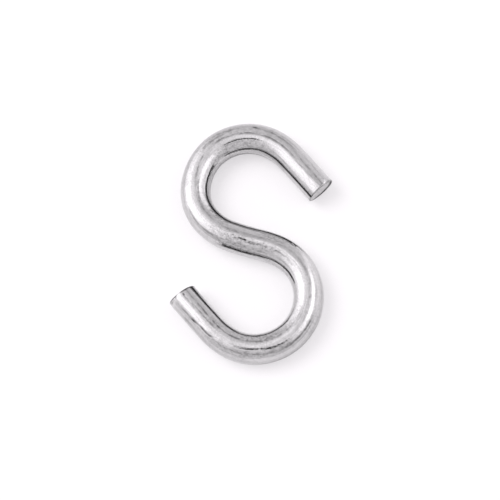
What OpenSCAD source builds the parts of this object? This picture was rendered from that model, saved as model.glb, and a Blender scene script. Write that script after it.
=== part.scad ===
// S hook, cold bent from one length of round steel wire, with both ends cropped square.
// It lies flat: X across, Y along its length, Z up, with the origin under its middle.
// The wire runs straight through the middle, round an eye on each side of it, opens out
// through a wider flare and ends in a short straight tail. Both halves are the same shape,
// half a turn apart.

/* [Wire] */
// Diameter of the round wire
wire_d = 4.6; // [3:0.1:4.7]
// Radius of the rounded rim round each cropped end
rim_r = 0.4; // [0.1:0.05:1]

/* [Hook] */
// Overall length, from the outside of one eye to the outside of the other
hook_length = 38.1; // [37.6:0.5:60]
// Inside diameter of each eye
eye_d = 11.4; // [10:0.1:11.6]

/* [Bends and tails] */
// Angle that the wire turns round each eye, from the middle straight to the flare
eye_turn = 191; // [170:1:195]
// Radius of the flare, on the centre line of the wire
flare_r = 10.6; // [8.5:0.1:14]
// Angle that the wire turns in the flare
flare_turn = 20; // [5:1:25]
// Length of the straight tail, from the flare to the cropped face
tail_length = 6.9; // [3:0.1:7.5]

/* [Hidden] */
$fn = 96;

// The wire is laid out in metres, where its lengths of bar and bend meet closely enough
// to join as one solid, and that solid is scaled to millimetres
metre = 1000;
wire_radius = wire_d / 2 / metre;
rim_radius = rim_r / metre;
flare_radius = flare_r / metre;
tail_run = tail_length / metre;

// Radius of each eye on the centre line, and how far its centre is from the middle
eye_radius = (eye_d + wire_d) / 2 / metre;
eye_offset = hook_length / 2 / metre - eye_radius - wire_radius;

// The middle straight touches both eyes' centre-line circles, one on each side of it
middle_run = 2 * sqrt(eye_offset * eye_offset - eye_radius * eye_radius);
middle_lean = acos(eye_radius / eye_offset);

// Directions from the bend centres, counter-clockwise from +X: where the middle straight
// runs into the eye, where the eye runs into the flare, and where the flare ends
eye_entry = 270 - middle_lean;
flare_entry = eye_entry - eye_turn;
tail_entry = flare_entry - flare_turn;

// The flare's centre is on the line from the eye's centre to the joint between them
eye_centre = [0, eye_offset, 0];
flare_centre = eye_centre - (flare_radius - eye_radius) * along(flare_entry);
tail_start = flare_centre + flare_radius * along(tail_entry);

// Unit vector in the plane of the hook, at an angle from +X
function along(angle) = [cos(angle), sin(angle), 0];

// Wire bent round the Z axis, counter-clockwise through a turn from a starting angle
module bend(radius, start, turn) {
    rotate([0, 0, start])
        rotate_extrude(angle = turn)
            translate([radius, 0])
                circle(r = wire_radius);
}

// Straight wire lying across the middle of the hook, between the two eyes
module middle() {
    rotate([0, 90, eye_entry - 90])
        cylinder(r = wire_radius, h = middle_run, center = true);
}

// Straight end of the wire along +Z, its cropped face square to the wire and its rim rounded
module tail() {
    rotate_extrude() {
        square([wire_radius, tail_run - rim_radius]);
        square([wire_radius - rim_radius, tail_run]);
        translate([wire_radius - rim_radius, tail_run - rim_radius])
            circle(r = rim_radius);
    }
}

// One eye with the flare and the tail that lead out of it
module eye() {
    translate(eye_centre)
        bend(eye_radius, flare_entry, eye_turn);
    translate(flare_centre)
        bend(flare_radius, tail_entry, flare_turn);
    translate(tail_start)
        rotate([0, 90, tail_entry - 90])
            tail();
}

// The whole wire, lifted by its own radius so that it lies on the ground
module hook() {
    color("silver")
        scale(metre)
            translate([0, 0, wire_radius]) {
                middle();
                for (half_turn = [0, 180])
                    rotate([0, 0, half_turn])
                        eye();
            }
}

hook();
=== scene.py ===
import bpy
import numpy as np
from mathutils import Matrix, Vector


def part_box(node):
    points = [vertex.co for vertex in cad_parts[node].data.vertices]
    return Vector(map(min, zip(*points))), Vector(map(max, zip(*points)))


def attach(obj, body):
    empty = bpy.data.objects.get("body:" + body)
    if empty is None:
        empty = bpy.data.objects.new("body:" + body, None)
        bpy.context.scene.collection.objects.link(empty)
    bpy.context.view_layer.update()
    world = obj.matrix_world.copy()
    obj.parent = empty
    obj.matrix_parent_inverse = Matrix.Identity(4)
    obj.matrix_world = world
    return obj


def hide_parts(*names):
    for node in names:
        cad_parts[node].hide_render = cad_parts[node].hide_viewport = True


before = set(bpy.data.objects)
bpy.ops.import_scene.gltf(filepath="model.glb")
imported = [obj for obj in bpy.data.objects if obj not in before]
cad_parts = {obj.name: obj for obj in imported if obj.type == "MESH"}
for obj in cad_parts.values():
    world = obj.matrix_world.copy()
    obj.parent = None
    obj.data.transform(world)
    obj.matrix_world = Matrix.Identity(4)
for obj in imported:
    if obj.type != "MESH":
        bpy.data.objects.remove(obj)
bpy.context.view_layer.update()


# ---------------------------------------------------------------- The wire of the hook
# One length of drawn steel wire, bent cold round two pins into an S and cropped square at
# both ends. It is all one piece, and the bright zinc plating went on after the bending.

# Sizes are in metres
low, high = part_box("hook")
wire_radius = (high.z - low.z) / 2
hook_length = high.y - low.y
eye_inside = 0.0114
eye_turn = np.radians(191)
flare_radius = 0.0106
flare_turn = np.radians(20)
tail_run = 0.0069

# The eyes' centres lie on the Y axis, and the straight middle touches both centre-line circles
eye_radius = eye_inside / 2 + wire_radius
eye_centre = hook_length / 2 - eye_radius - wire_radius
middle_half = np.sqrt(eye_centre**2 - eye_radius**2)
middle_heading = np.pi / 2 + np.arcsin(eye_radius / eye_centre)

# Along one half from the middle: where each stretch ends, and the heading there
stretch_ends = np.cumsum([0, middle_half, eye_turn * eye_radius, flare_turn * flare_radius, tail_run])
stretch_headings = middle_heading - np.cumsum([0, 0, eye_turn, flare_turn, 0])
half_run = stretch_ends[-1]

ROUND_STEPS = 128
BARREL_STEPS = 600
RIM_STEPS = 10
FACE_STEPS = 10

# A place on the wire is given by its run, which is the distance along the wire from its middle
# towards the upper end, and by its turn, which is the angle round the wire from its left side
# over its top. Left is as seen along the run.
turn = np.linspace(0, 2 * np.pi, ROUND_STEPS, endpoint=False)


def centre_line(run):
    """Points and headings at distances along the wire, counted from its middle.

    The curvature is constant on each stretch, so the heading is a straight-line function of
    the distance, and the place is the running sum of short steps along the heading."""
    fine = np.linspace(0, half_run + wire_radius, 40001)
    halfway = (fine[1:] + fine[:-1]) / 2
    heading = np.interp(halfway, stretch_ends, stretch_headings)
    steps = np.diff(fine)[:, None] * np.stack([np.cos(heading), np.sin(heading)], 1)
    place = np.concatenate([[[0, 0]], np.cumsum(steps, 0)])
    at = np.abs(run)
    points = np.stack([np.interp(at, fine, place[:, axis]) * np.sign(run) for axis in (0, 1)], -1)
    return points, np.interp(at, stretch_ends, stretch_headings)


def near(value, at, reach, power=2):
    """1 at one place, about a third at this reach to either side of it, and 0 far off.

    It is e to the minus of an even power of the distance over the reach. A higher power has a
    flatter top and steeper sides."""
    return np.exp(-((value - at) / reach) ** power)


def drawn_surface(run, turn, height, seed):
    """How far the drawn and bent surface stands off a true cylinder, in metres.

    A sum of cosines that run round the wire a whole number of times and drift slowly along it.
    Each has this height, divided by the power 1.5 of its number of waves round the wire."""
    rng = np.random.default_rng(seed)
    total = np.zeros(np.broadcast(run, turn).shape)
    for waves_round in (3, 4, 5, 6, 7, 9, 11):
        for _ in range(3):
            wave_length = rng.uniform(0.004, 0.018)
            phase_along, phase_round = rng.uniform(0, 2 * np.pi, 2)
            along = 2 * np.pi * run / wave_length + phase_along
            total += np.cos(waves_round * turn + phase_round + np.sin(along)) / waves_round**1.5
    return height * total


def bending_play(run):
    """How far the bent wire lies to the left of its nominal centre line, in metres, as a sum of
    the places where it was pushed aside.

    The lower eye and the upper tail closed in a little, and the wire gave way to the other side
    where the tool let go of it: in the middle, and on the way round the upper eye."""
    closed_in = 0.00013 * near(run, -0.0240, 0.0130, 4) + 0.00005 * near(run, 0.0390, 0.0050, 4)
    gave_way_in_middle = 0.00014 * near(run, -0.0024, 0.0021) + 0.00010 * near(run, 0.0060, 0.0026)
    gave_way_in_eye = 0.00013 * near(run, 0.0163, 0.0035)
    return closed_in - gave_way_in_middle - gave_way_in_eye


def pressed_bend(run, turn):
    """How far the section stands off a circle, in metres, after it was bent.

    The far half of each eye came out of the bending tool a little wider across the flat of the
    hook, by the squared cosine of the turn. The middle and the upper tail, where the tool held
    them, came out flatter and wider, by the cosine of twice the turn."""
    far = near(np.abs(run), 0.0270, 0.0080, 4)
    held = near(run, -0.0015, 0.0070, 4) + 0.2 * near(run, 0.0390, 0.0060, 4)
    return 0.00004 * far * np.cos(turn) ** 2 + 0.00006 * held * np.cos(2 * turn)


def dragged(run, turn):
    """How far the shear drew the surface down beside the cropped ends, in metres.

    It falls off along the wire as a parabola, over the last half millimetre or so, and round
    the wire as the square of a cosine wave between 0 and 1."""
    total = np.zeros(np.broadcast(run, turn).shape)
    for towards_end, reach, deepest, depth in [(run, 0.0006, 110, 0.00002), (-run, 0.0008, 130, 0.00009)]:
        beside_end = np.clip(1 - (half_run - towards_end) / reach, 0, 1) ** 2
        total += depth * beside_end * ((1 + np.cos(turn - np.radians(deepest))) / 2) ** 2
    return total


def cropped_end(turn, softest, reach, drop, length, lean, undercut):
    """How the shear left an end, round the wire: how far before the face its rim starts, how
    far the rim drops down the face, and how far the face stands out past the nominal end.

    Reach and drop each go from their value at the sharpest lip to their value at the turn called
    softest, where the rim is rolled over most, by the cube of a cosine wave between 0 and 1. The
    face stands out by a length, by a cosine wave for its lean to the side, and by a sine wave
    for its undercut, which leaves the top of the wire longer."""
    rolled = ((1 + np.cos(turn - softest)) / 2) ** 3
    stands_out = length + lean * np.cos(turn) + undercut * np.sin(turn)
    return np.interp(rolled, [0, 1], reach), np.interp(rolled, [0, 1], drop), stands_out


upper_end = cropped_end(turn, softest=np.radians(70), reach=(0.00008, 0.00020),
                        drop=(0.00018, 0.00028), length=0.00012, lean=-0.00003, undercut=0.00019)
lower_end = cropped_end(turn, softest=np.radians(80), reach=(0.00008, 0.00028),
                        drop=(0.00007, 0.00015), length=0, lean=-0.00020, undercut=0)

# Each ring of points over an end has an angle over the rim, from 0 on the barrel to a right
# angle on the face, and a share of the way from the rim to the middle of the face, where the
# rings lie farther apart. Each ring of the barrel has a share of the way from the lower end to
# the upper one.
over_rim = np.linspace(0, np.pi / 2, RIM_STEPS + 1)
across_face = np.linspace(0, 0.99, FACE_STEPS + 1)[1:] ** 1.7
over = np.concatenate([over_rim, np.full(FACE_STEPS, np.pi / 2)])[:, None]
across = np.concatenate([np.zeros(RIM_STEPS + 1), across_face])[:, None]
on_barrel = np.linspace(0, 1, BARREL_STEPS + 1)[1:-1, None]


def end_points(end):
    """Distances from the middle of the wire and radii over one end: a quarter of an ellipse over
    the rim, and then a flat face that slants from side to side by as much as the rim does."""
    reach, drop, stands_out = end
    slant = stands_out.mean() + (stands_out - stands_out.mean()) * (1 - across)
    distance = half_run + slant - reach * (1 - np.sin(over))
    return distance, (wire_radius - drop * (1 - np.cos(over))) * (1 - across)


upper_run, upper_radius = end_points(upper_end)
lower_run, lower_radius = end_points(lower_end)
barrel_run = upper_run[0] * on_barrel - lower_run[0] * (1 - on_barrel)
run = np.concatenate([-lower_run[::-1], barrel_run, upper_run])
radius = np.concatenate([lower_radius[::-1], np.full(barrel_run.shape, wire_radius), upper_radius])
facing = np.concatenate([-over[::-1], np.zeros(on_barrel.shape), over])

# The surface stands off its true place by less and less towards the middle of a cropped face
stand_off = drawn_surface(run, turn, height=0.000022, seed=5)
stand_off = stand_off + pressed_bend(run, turn) - dragged(run, turn)
stand_off = stand_off * np.concatenate([1 - across[::-1], np.ones(on_barrel.shape), 1 - across])

points, heading = centre_line(run)
forward = np.stack([np.cos(heading), np.sin(heading), 0 * heading], -1)
left = np.stack([-np.sin(heading), np.cos(heading), 0 * heading], -1)
up = np.array([0, 0, 1.0])
outward = left * np.cos(turn)[:, None] + up * np.sin(turn)[:, None]
normal = outward * np.cos(facing)[..., None] + forward * np.sin(facing)[..., None]
centre = np.concatenate([points, np.full(run.shape + (1,), wire_radius)], -1)
centre = centre + left * bending_play(run)[..., None]
surface = centre + outward * radius[..., None] + normal * stand_off[..., None]

# The same points with the wire pulled out straight, which the finish follows
unbent = np.stack([run, radius * np.cos(turn), radius * np.sin(turn)], -1)


def line_along(run, turn, start, end, start_turn, end_turn, half_width):
    """1 along a line that is straight on the wire rolled out flat, and 0 away from it.

    Across, it fades as a bell curve does, and at its ends as that curve does with an eighth
    power. It is given by its start and end in millimetres from the middle of the wire, by the
    turn at each of them in degrees, and by half its width in degrees."""
    share = (run * 1000 - start) / (end - start)
    off = (np.degrees(turn) - start_turn - (end_turn - start_turn) * share) / half_width
    return np.exp(-off**2 - (2 * share - 1) ** 8)


def scored_and_painted_bands(run, turn):
    """Depth of the long marks that the die and the bending pins left, where 1 is a clear mark, and of
    bands of painted reflection laid the same way.

    Each row is a line along the wire and its depth. Some rows are painted shade, for darker bands
    that the zinc mirrors, such as the hook's shade on the board and the dim roof between the two
    lamps' glows. Where the depth is below 0, the band is painted lighter instead, for a brighter reflection."""
    marks_and_painted_bands = [
        # The lower end
        (-40.7, -40.4, 150, 150, 8, 0.6), (-40.7, -40.3, 118, 119, 7, 1.3),
        (-40.35, -39.9, 146, 146, 14, -0.8), (-40.3, -39.9, 86, 86, 4, 1.8),
        # The lower tail and its flare
        (-40.4, -27, 68, 74, 3.5, 1.2), (-40.4, -33, 88, 82, 5, 1.0), (-40.3, -35.5, 127, 128, 4, 1.0),
        (-38, -31, 150, 153, 7, 0.4), (-36.5, -32, 126, 118, 4, 1.5), (-36, -28, 104, 104, 14, 0.3),
        # The lower eye
        (-32, -28, 123, 124, 3.5, 0.9), (-28, -16, 75, 79, 3.5, 0.8), (-28, -21, 124, 126, 5, 0.4),
        (-27, -19, 90, 90, 7, -0.4), (-23, -16, 131, 128, 4, 1.1), (-19.5, -12.5, 102, 98, 4, 0.6),
        (-19, -10.5, 161, 154, 6, 0.4), (-16, -9, 79, 81, 3, 0.3), (-15.5, -9, 124, 127, 4, 0.3),
        (-12.5, -6, 102, 106, 4, 0.7), (-10, -5.5, 51, 53, 3, 0.5), (-10, -4, 70, 72, 14, 0.4),
        (-9, -5, 17, 13, 6, 0.5),
        # The middle
        (-10, 4, 91, 89, 5, -0.5), (-7, -0.5, 76, 73, 3, 0.7), (-6, 4.5, 104, 101, 4, 0.8),
        (-5.5, -2, 13, 13, 6, 0.5), (0.2, 2.2, 76, 75, 3, 0.8), (0.4, 1.7, 80, 80, 3, 1.9),
        (2, 6, 81, 83, 2.5, 0.4),
        # The upper eye
        (4.8, 10.5, 50, 53, 4, 0.8), (7, 15.5, 105, 106, 4.5, 0.8), (12, 19, 138, 138, 8, -0.4),
        (13.5, 18.8, 98, 88, 3.5, 1.0), (17.3, 22.5, 143, 145, 5, 0.7), (19.3, 22.5, 70, 67, 5, 1.0),
        (20.5, 34.5, 85, 86, 4.5, 1.3), (22.3, 27.5, 65, 61, 4.5, 0.5), (27, 27.6, 60, 60, 3, 1.2),
        (27.5, 34, 62, 66, 4.5, 0.9), (31, 35, 129, 131, 3, 0.4),
        # The upper tail and its end
        (34.5, 41, 92, 88, 3.5, 0.6), (34.5, 41, 72, 77, 4, 0.9), (35.5, 40, 54, 56, 3.5, 0.4),
        (40.4, 40.85, 64, 64, 6, -1.2)]
    return sum(depth * line_along(run, turn, *line) for *line, depth in marks_and_painted_bands)


def scuffed(run, turn):
    """How far the surface is roughened by the bending tool and by other hooks, from 0 to 1.

    A sum of oval patches with soft edges. Each row is the middle of one in millimetres along the
    wire and degrees round it, how far it reaches in both, and how rough it is."""
    patches = [(-36, 66, 5, 14, 0.4), (-25, 66, 6, 18, 0.6), (-25, 122, 6, 14, 0.8), (-3, 118, 3, 12, 0.6),
               (1, 66, 6, 24, 1.0), (7, 123, 3, 10, 0.7), (24, 66, 6, 12, 0.4), (25, 128, 7, 18, 0.7)]
    total = sum(rough * near(run * 1000, at, reach) * near(np.degrees(turn), at_turn, reach_turn)
                for at, at_turn, reach, reach_turn, rough in patches)
    return np.clip(total, 0, 1)


def mirrored_crevice_shade(run, turn):
    """How dark the painted shade is along the inside of the tails, from 0 to 1, for the dark crevice
    under the facing wire that the zinc mirrors there. Each row is a line along the wire and how dark it is."""
    lines = [(-36, -29, 37, 37, 4.5, 0.3), (28, 35, 149, 149, 4, 0.4), (34, 43, 148.5, 148.5, 3.5, 0.95)]
    return sum(dark * line_along(run, turn, *line) for *line, dark in lines)


# Painted shade lies along each rim, for the dark contact shade that the rim mirrors, and spills a
# little way over the face, with a gap where the rim catches a highlight. The upper face also has a
# painted dark crescent, for the shade under the wire that its lower edge mirrors, which is all that
# is more than a wire radius away from a place up and right of its middle.
rim_painted_shade = np.concatenate([0.6 + 0.4 * np.sin(over_rim), np.exp(-across_face / 0.05)])[:, None]
upper_gap = near(turn, np.radians(68), np.radians(11))
lower_gap = near(turn, np.radians(99), np.radians(11))
from_unshaded_middle = np.hypot(np.cos(turn) * upper_radius / wire_radius + 0.30,
                       np.sin(turn) * upper_radius / wire_radius - 0.50)
painted_crescent = np.clip((from_unshaded_middle - 1) / 0.12, 0, 1) * (over > 1)
upper_painted_shade = np.maximum(rim_painted_shade * 0.45 * (1 - upper_gap), painted_crescent)
lower_painted_shade = rim_painted_shade * (0.9 - 0.1 * np.cos(turn)) * (1 - lower_gap)

# 1 on the cropped faces and 0 elsewhere
face = np.repeat(across > 0, ROUND_STEPS, axis=1)
barrel = np.zeros(barrel_run.shape)
cut = np.concatenate([face[::-1], barrel, face])
# The painted shade of the rims, of the upper face and of the inside of the tails, in one
painted_shade = np.concatenate([lower_painted_shade[::-1], barrel, upper_painted_shade])
painted_shade = np.maximum(painted_shade, mirrored_crevice_shade(run, turn) * (1 - cut))


def with_poles(grid):
    """The values of all rings in one row, and then those of the two points in the middle of the
    cropped faces, which are the means of the first ring and of the last."""
    return np.concatenate([grid.reshape((-1,) + grid.shape[2:]), grid[[0, -1]].mean(1)])


ring, step = np.meshgrid(np.arange(len(run) - 1), np.arange(ROUND_STEPS), indexing="ij")
beside = (step + 1) % ROUND_STEPS
quads = np.stack([ring * ROUND_STEPS + step, ring * ROUND_STEPS + beside,
                  (ring + 1) * ROUND_STEPS + beside, (ring + 1) * ROUND_STEPS + step], -1)
around = np.arange(ROUND_STEPS)
onward = (around + 1) % ROUND_STEPS
last_ring = (len(run) - 1) * ROUND_STEPS
first_pole = np.full(ROUND_STEPS, len(run) * ROUND_STEPS)
first_fan = np.stack([onward, around, first_pole], 1)
last_fan = np.stack([last_ring + around, last_ring + onward, first_pole + 1], 1)

wire_mesh = bpy.data.meshes.new("wire")
wire_mesh.from_pydata(with_poles(surface).tolist(), [],
                      quads.reshape(-1, 4).tolist() + first_fan.tolist() + last_fan.tolist())
wire_mesh.polygons.foreach_set("use_smooth", np.ones(len(wire_mesh.polygons), bool))
laid = wire_mesh.attributes.new("unbent", "FLOAT_VECTOR", "POINT")
laid.data.foreach_set("vector", with_poles(unbent).astype(np.float32).ravel())
for name, share in [("painted_shade", painted_shade), ("cut_face", cut), ("scored_and_painted_bands", scored_and_painted_bands(run, turn)),
                    ("scuffed", scuffed(run, turn))]:
    shares = wire_mesh.attributes.new(name, "FLOAT", "POINT")
    shares.data.foreach_set("value", with_poles(share).astype(np.float32))
wire = bpy.data.objects.new("hook_wire", wire_mesh)
bpy.context.scene.collection.objects.link(wire)


class Signal:
    """An output of a node tree. Arithmetic on it adds the Math nodes that do the same."""

    def __init__(self, socket):
        self.socket = socket

    @classmethod
    def node(cls, tree, kind, settings=None, inputs=None, output=0):
        """Adds a node: its settings first, then the values or links of its sockets."""
        node = tree.nodes.new(kind)
        for name, value in (settings or {}).items():
            setattr(node, name, value)
        for name, value in (inputs or {}).items():
            if isinstance(value, cls):
                tree.links.new(value.socket, node.inputs[name])
            else:
                node.inputs[name].default_value = value
        return cls(node.outputs[output])

    def math(self, operation, *inputs):
        """A Math node of this tree, with these signals or numbers as its inputs."""
        return Signal.node(self.socket.id_data, "ShaderNodeMath", {"operation": operation},
                           dict(enumerate(inputs)))

    def __add__(self, other):
        return self.math("ADD", self, other)

    __radd__ = __add__

    def __sub__(self, other):
        return self.math("SUBTRACT", self, other)

    def __rsub__(self, other):
        return self.math("SUBTRACT", other, self)

    def __mul__(self, other):
        return self.math("MULTIPLY", self, other)

    __rmul__ = __mul__

    def __truediv__(self, other):
        return self.math("DIVIDE", self, other)

    def __pow__(self, other):
        return self.math("POWER", self, other)

    def __rpow__(self, other):
        return self.math("POWER", other, self)

    def __neg__(self):
        return self * -1

    def __abs__(self):
        return self.math("ABSOLUTE", self)

    def root(self):
        return self.math("SQRT", self)

    def at_least(self, floor):
        return self.math("MAXIMUM", self, floor)

    def rise(self, start, end):
        """0 below start and 1 above end, with a smooth rise between them."""
        return Signal.node(self.socket.id_data, "ShaderNodeMapRange",
                           {"interpolation_type": "SMOOTHSTEP"},
                           {"Value": self, "From Min": start, "From Max": end})

    def blend(self, low, high):
        """A colour between two colours, by this signal."""
        return Signal.node(self.socket.id_data, "ShaderNodeMix", {"data_type": "RGBA"},
                           {0: self, 6: low, 7: high}, output=2)


ZINC = (0.79, 0.786, 0.79, 1)
BLACK = (0, 0, 0, 1)
MICRON = 0.000001


def make_plating():
    """Bright zinc over drawn wire: a mirror dulled by lines along the wire, pits and a grain, with painted
    shade and painted bands of reflection in its colour.
    """
    material = bpy.data.materials.new("bright_zinc_plating")
    material.use_nodes = True
    tree = material.node_tree
    shader = tree.nodes["Principled BSDF"]
    spot = Signal.node(tree, "ShaderNodeAttribute", {"attribute_name": "unbent"}, output="Vector")

    def noise(along, around, detail):
        """Noise with this many cells to the metre along the wire and around it."""
        place = Signal.node(tree, "ShaderNodeVectorMath", {"operation": "MULTIPLY"},
                            {0: spot, 1: (along, around, around)})
        return Signal.node(tree, "ShaderNodeTexNoise", {},
                           {"Vector": place, "Scale": 1.0, "Detail": detail, "Roughness": 0.55})

    def thread(along, around, half_width):
        """1 along the thin threads where a noise with such cells passes its middle value, and 0
        farther from it than this half width."""
        return 1 - abs(noise(along, around, 0.0) - 0.5).rise(0.0, half_width)

    def layer(name):
        """What the wire's mesh says of the surface under this name."""
        return Signal.node(tree, "ShaderNodeAttribute", {"attribute_name": name}, output="Fac")

    # Lines that the drawing die left along the wire, with bands of painted shade and painted
    # reflection laid among them, and marks of handling across them
    scores_and_painted_bands = layer("scored_and_painted_bands") * (noise(900, 1800, 1.0).rise(0.3, 0.7) + 0.45)
    ribs = noise(35, 1300, 1.0)
    lines = noise(110, 3000, 2.0)
    streaks = noise(70, 1500, 2.0).rise(0.32, 0.68)
    scratches = thread(60, 1400, 0.03)
    rubs = thread(800, 140, 0.035) * noise(120, 300, 0.0).rise(0.45, 0.6)

    # Grain of the zinc, and pits where it is scuffed
    scuffs = (layer("scuffed") * 1.3 + noise(160, 420, 2.0) * 1.6 - 0.8).rise(0.0, 0.8)
    grain = noise(3600, 4400, 2.0)
    mottle = noise(1500, 2400, 1.0).rise(0.35, 0.65)
    pits = noise(2200, 3200, 1.0).rise(0.58, 0.7) * scuffs

    # The share of the zinc's brightness that each of them takes away, on the drawn barrel and
    # on the cropped faces, where only the lines of the shear and the painted shade are left
    # Painted shade along the rims, on the upper face and along the inside of the tails, for the dark that
    # the zinc mirrors there
    painted_shade = layer("painted_shade")
    cut = layer("cut_face")
    drawn = streaks * 0.1 + mottle * (scuffs * 0.18 + 0.05) + pits * 0.25 + grain * 0.36 + lines * 0.2 - 0.24
    drawn = drawn + scores_and_painted_bands * 0.34 + scratches * 0.09 + rubs * 0.1
    sheared = lines.rise(0.4, 0.7) * 0.3 - 0.2
    dull = drawn * (1 - cut) + painted_shade * 0.9 + cut * sheared

    # Each relief has its own height, in thousandths of a millimetre
    relief = ribs * 42 + lines * 20 + grain * (scuffs * 14 + 8) - scores_and_painted_bands * 25 - pits * 8
    finish = {
        "Base Color": (1 - dull).blend(BLACK, ZINC),
        "Roughness": grain * 0.05 + scuffs * 0.04 + lines * 0.04 + painted_shade * 0.2 + cut * 0.45,
        "Metallic": 1 - cut * 0.85,
        "Normal": Signal.node(tree, "ShaderNodeBump", {},
                              {"Height": relief, "Strength": 1.0, "Distance": MICRON})}
    for name, signal in finish.items():
        tree.links.new(signal.socket, shader.inputs[name])
    return material


wire.data.materials.append(make_plating())
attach(wire, "root")
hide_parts("hook")


# ---------------------------------------------------------------- White board
# A smooth white board that the hook lies on. It isn't part of the object. It looks white
# wherever the hook doesn't shade it.

BOARD_SIDE = 3.0
WHITE = (1, 1, 1, 1)

# All the light is a little short of green
LIGHT_TINT = (1, 0.972, 1, 1)

# The lens sees a grey board under an even wash of light, which keeps the hook's shade on it
# pale. Light that the board throws back, and its mirror image in the zinc, have no wash.
BOARD_GREY = 0.38
BOARD_WASH = 0.555
BOARD_THROWN_BACK = 0.5
BOARD_MIRRORED = 0.65

board_mesh = bpy.data.meshes.new("white_board")
half_board = BOARD_SIDE / 2
corners = [(-1, -1), (1, -1), (1, 1), (-1, 1)]
board_mesh.from_pydata([(x * half_board, y * half_board, low.z) for x, y in corners], [], [(0, 1, 2, 3)])
board = bpy.data.objects.new("white_board", board_mesh)
bpy.context.scene.collection.objects.link(board)
board_paint = bpy.data.materials.new("white_board")
board_paint.use_nodes = True
board_tree = board_paint.node_tree
board_tree.nodes.remove(board_tree.nodes["Principled BSDF"])


def board_ray(output):
    """What the light path node says of the ray that meets the board."""
    return Signal.node(board_tree, "ShaderNodeLightPath", output=output)


def openness(distance, facing):
    """1 on the open board, falling towards the hook within this distance, on the side of the
    hook that this direction faces."""
    facing = Signal.node(board_tree, "ShaderNodeCombineXYZ", {}, dict(enumerate(facing)))
    return Signal.node(board_tree, "ShaderNodeAmbientOcclusion", {"samples": 8},
                       {"Distance": distance, "Normal": facing}, output="AO")


def between(level, other, mask):
    """The level where the mask is 0, the other level where it is 1, and a mix in between."""
    return level * (1 - mask) + mask * other


# The shades of the hook on the board, as the zinc mirrors them. Each is a power of the
# openness, and its row is its reach in metres, the way that it faces, and the power where the
# zinc mirrors the board right under it and from farther off. A power below 0 takes some of the
# other shades away again.
UPWARDS = (0, 0, 1)
shades = [(0.002, UPWARDS, 0.4, 0.4), (0.004, UPWARDS, 0, 3), (0.004, (0.5, -0.6, 0.62), 0, -1),
          (0.012, UPWARDS, -0.7, -0.7), (0.006, (-0.45, 0.64, 0.62), 0.9, 0.9),
          (0.005, (-0.77, -0.14, 0.62), -1.1, 0), (0.005, (0.6, 0.5, 0.62), -0.4, 0)]
to_camera = board_ray("Is Camera Ray")
far_off = board_ray("Ray Length").rise(0.003, 0.007)
mirrored = between(BOARD_THROWN_BACK, BOARD_MIRRORED, board_ray("Is Glossy Ray"))
for reach, towards, right_under, farther_off in shades:
    mirrored = mirrored * openness(reach, towards) ** between(right_under, farther_off, far_off)

# What the zinc sees mirrored in more zinc is ten times darker at each turn
mirrored = mirrored * 0.1 ** (board_ray("Glossy Depth") - 1).at_least(0)

white = between(mirrored, BOARD_GREY, to_camera)
board_shader = Signal.node(board_tree, "ShaderNodeBsdfDiffuse", {}, {"Color": white.blend(BLACK, WHITE)})
wash = Signal.node(board_tree, "ShaderNodeEmission", {},
                   {"Color": LIGHT_TINT, "Strength": to_camera * BOARD_WASH})
washed = Signal.node(board_tree, "ShaderNodeAddShader", {}, {0: board_shader, 1: wash})
board_tree.links.new(washed.socket, board_tree.nodes["Material Output"].inputs["Surface"])
board.data.materials.append(board_paint)


# ---------------------------------------------------------------- Light tent
# A tent of white cloth with a lamp outside it on the left and on the right. The back and
# the front wall get less light, and the lens looks in through a slit in the roof.

TENT_TURN = np.radians(4.58)

# How bright the parts of the cloth are, where 1 is plain white
ROOF = 1.09
ROOF_MIDDLE = 0.94
FRONT_WALL = 0.69
BACK_WALL = 0.72

# How much the lamps' glows add to that, and what share of it each shade takes away
LEFT_GLOW = 0.80
RIGHT_GLOW = 0.72
LOW_RIGHT_SHADE = 0.13
SLIT_SHADE = 0.96

world = bpy.data.worlds.new("light_tent")
bpy.context.scene.world = world
world.use_nodes = True
sky = world.node_tree

direction = Signal.node(sky, "ShaderNodeTexCoord", output="Generated")
direction = Signal.node(sky, "ShaderNodeVectorRotate", {"rotation_type": "Z_AXIS"},
                        {"Vector": direction, "Angle": TENT_TURN})
split = Signal.node(sky, "ShaderNodeSeparateXYZ", {}, {"Vector": direction})
sideways, away, height = (Signal(split.socket.node.outputs[axis]) for axis in "XYZ")

# Degrees down from the roof's middle, towards the right wall and towards the back wall
from_top = height.math("ARCCOSINE", height) * (180 / np.pi)
flat = (sideways * sideways + away * away + 0.000001).root()
to_right = from_top * sideways / flat
to_back = from_top * away / flat


def glow(right, back, reach_right, reach_back):
    """1 at the middle of a lamp's glow on the cloth, falling smoothly to 0 at the edge of an
    ellipse with these reaches."""
    across = (to_right - right) / reach_right
    along = (to_back - back) / reach_back
    return 1 - (across * across + along * along).root().rise(0, 1)


# The roof, which is a little darker in its middle
level = between(ROOF_MIDDLE, ROOF, from_top.rise(0, 53))

# The front wall, and the back wall, which starts farther from the roof's middle at its sides
front_wall = (-to_back).rise(-13, 55)
back_wall = ((to_back - 22) - (abs(to_right) - 30) * 2.55).rise(-25, 25) * to_back.rise(10, 30)
level = between(level, FRONT_WALL, front_wall)
level = between(level, BACK_WALL, back_wall)

# The right wall, which is darker low down, and the glows of the left and of the right lamp
level = level * (1 - LOW_RIGHT_SHADE * to_right.rise(50, 78))
level = level + LEFT_GLOW * glow(-43, 9, 46, 50) + RIGHT_GLOW * glow(42, 5, 27, 55)

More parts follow.
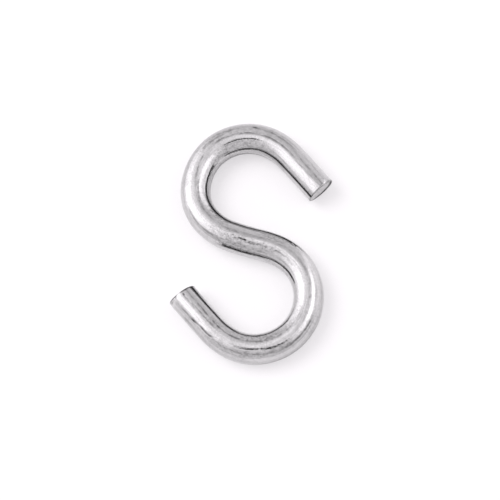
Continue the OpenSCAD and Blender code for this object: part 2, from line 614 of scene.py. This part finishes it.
# The slit in the roof, which is a long dark opening that leans to one side
SLIT_RIGHT = 0.5
SLIT_BACK = -17
SLIT_LEAN = np.radians(-16)
off_right = to_right - SLIT_RIGHT
off_back = to_back - SLIT_BACK
slit_along = off_right * np.cos(SLIT_LEAN) + off_back * np.sin(SLIT_LEAN)
slit_across = off_back * np.cos(SLIT_LEAN) - off_right * np.sin(SLIT_LEAN)
slit = (1 - abs(slit_across).rise(2.8, 5.2)) * (1 - abs(slit_along).rise(14, 20))
level = level * (1 - slit * SLIT_SHADE)

# White below the horizon, half as bright at each turn from zinc to zinc, and white to the lens
below = (-height).rise(-0.01, 0.01)
level = between(level, 1, below)
mirror_turns = Signal.node(sky, "ShaderNodeLightPath", output="Glossy Depth") - 1
level = level * 0.5 ** mirror_turns.at_least(0)
level = between(level, 1, Signal.node(sky, "ShaderNodeLightPath", output="Is Camera Ray"))
background = sky.nodes["Background"]
sky.links.new(level.socket, background.inputs["Strength"])
background.inputs["Color"].default_value = LIGHT_TINT


# ---------------------------------------------------------------- Side lamp
# A soft lamp high on the left gives the hook's shadow its side. The zinc doesn't mirror it,
# because the tent already lights the zinc.

LAMP_AZIMUTH = np.radians(150)
LAMP_HEIGHT = np.radians(55)
LAMP_SOFTNESS = np.radians(40)

# How much of a white board's brightness comes from the lamp
LAMP_SHARE = 0.35

lamp = bpy.data.lights.new("side_lamp", "SUN")
lamp.energy = LAMP_SHARE * np.pi / np.sin(LAMP_HEIGHT)
lamp.color = LIGHT_TINT[:3]
lamp.angle = LAMP_SOFTNESS
side_lamp = bpy.data.objects.new("side_lamp", lamp)
to_lamp = Vector((np.cos(LAMP_AZIMUTH) * np.cos(LAMP_HEIGHT),
                  np.sin(LAMP_AZIMUTH) * np.cos(LAMP_HEIGHT), np.sin(LAMP_HEIGHT)))
side_lamp.rotation_euler = to_lamp.to_track_quat("Z", "Y").to_euler()
side_lamp.visible_glossy = False
bpy.context.scene.collection.objects.link(side_lamp)


# ---------------------------------------------------------------- Camera
# It looks down through the slit, a little from the front and the right.

CAMERA_AZIMUTH = np.radians(15.43)
CAMERA_ELEVATION = np.radians(72.59)
CAMERA_DISTANCE = 0.2903
CAMERA_TARGET = Vector((-0.000307, -0.001132, wire_radius))
VIEW_ANGLE = np.radians(14.870)
image_up = Vector((np.sin(TENT_TURN), np.cos(TENT_TURN), 0))

back = Vector((np.sin(CAMERA_AZIMUTH) * np.cos(CAMERA_ELEVATION),
               -np.cos(CAMERA_AZIMUTH) * np.cos(CAMERA_ELEVATION), np.sin(CAMERA_ELEVATION)))
right = image_up.cross(back).normalized()
upright = back.cross(right)
lens = bpy.data.cameras.new("camera")
lens.sensor_fit = "HORIZONTAL"
lens.angle = VIEW_ANGLE
camera = bpy.data.objects.new("camera", lens)
camera.matrix_world = Matrix.Translation(CAMERA_TARGET + back * CAMERA_DISTANCE) @ Matrix(
    (right, upright, back)).transposed().to_4x4()
bpy.context.scene.collection.objects.link(camera)
bpy.context.scene.camera = camera
bpy.context.scene.view_settings.view_transform = "Standard"
